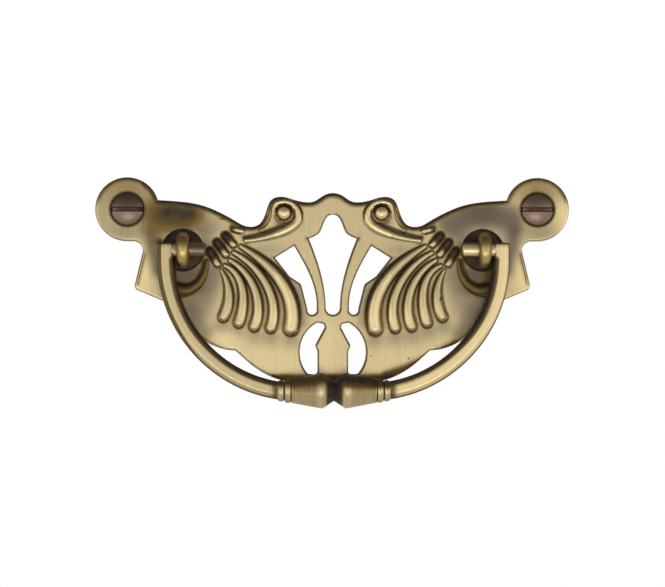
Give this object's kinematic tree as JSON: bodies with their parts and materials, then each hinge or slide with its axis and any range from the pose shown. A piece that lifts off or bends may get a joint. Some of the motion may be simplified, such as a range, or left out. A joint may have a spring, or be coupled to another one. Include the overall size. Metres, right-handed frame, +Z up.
{
  "type": "drop pull",
  "caption": "Antique-brass drop pull: a pierced cast backplate with ribbed relief and screw lugs, carrying a swinging bail with bell turnings in riveted eyes.",
  "frame": {"origin": "midway between the fixing screws, on the backplate's flat back face", "axes": "+X along the plate, to the right as seen from the front; +Z up; the front faces -Y and the screws point along +Y"},
  "size_m": [0.0982, 0.024, 0.0477],
  "materials": {
    "plate_brass": "antiqued and brushed, dark in the recesses",
    "eye_brass": "satin, yellower than the plate",
    "bail_brass": "antiqued and rubbed bright on the front",
    "screw_bronze": "dark bronze"
  },
  "bodies": {
    "plate": {"backplate": "plate_brass", "eye_left": "eye_brass", "eye_right": "eye_brass", "wood_screws": "screw_bronze"},
    "bail": {"bail": "bail_brass"}
  },
  "joints": [
    {"name": "bail_swing", "type": "hinge", "parent": "plate", "child": "bail", "pos_m": [0, -0.0062, -0.00845], "axis": [-1, 0, 0], "range_deg": [0, 180]}
  ]
}
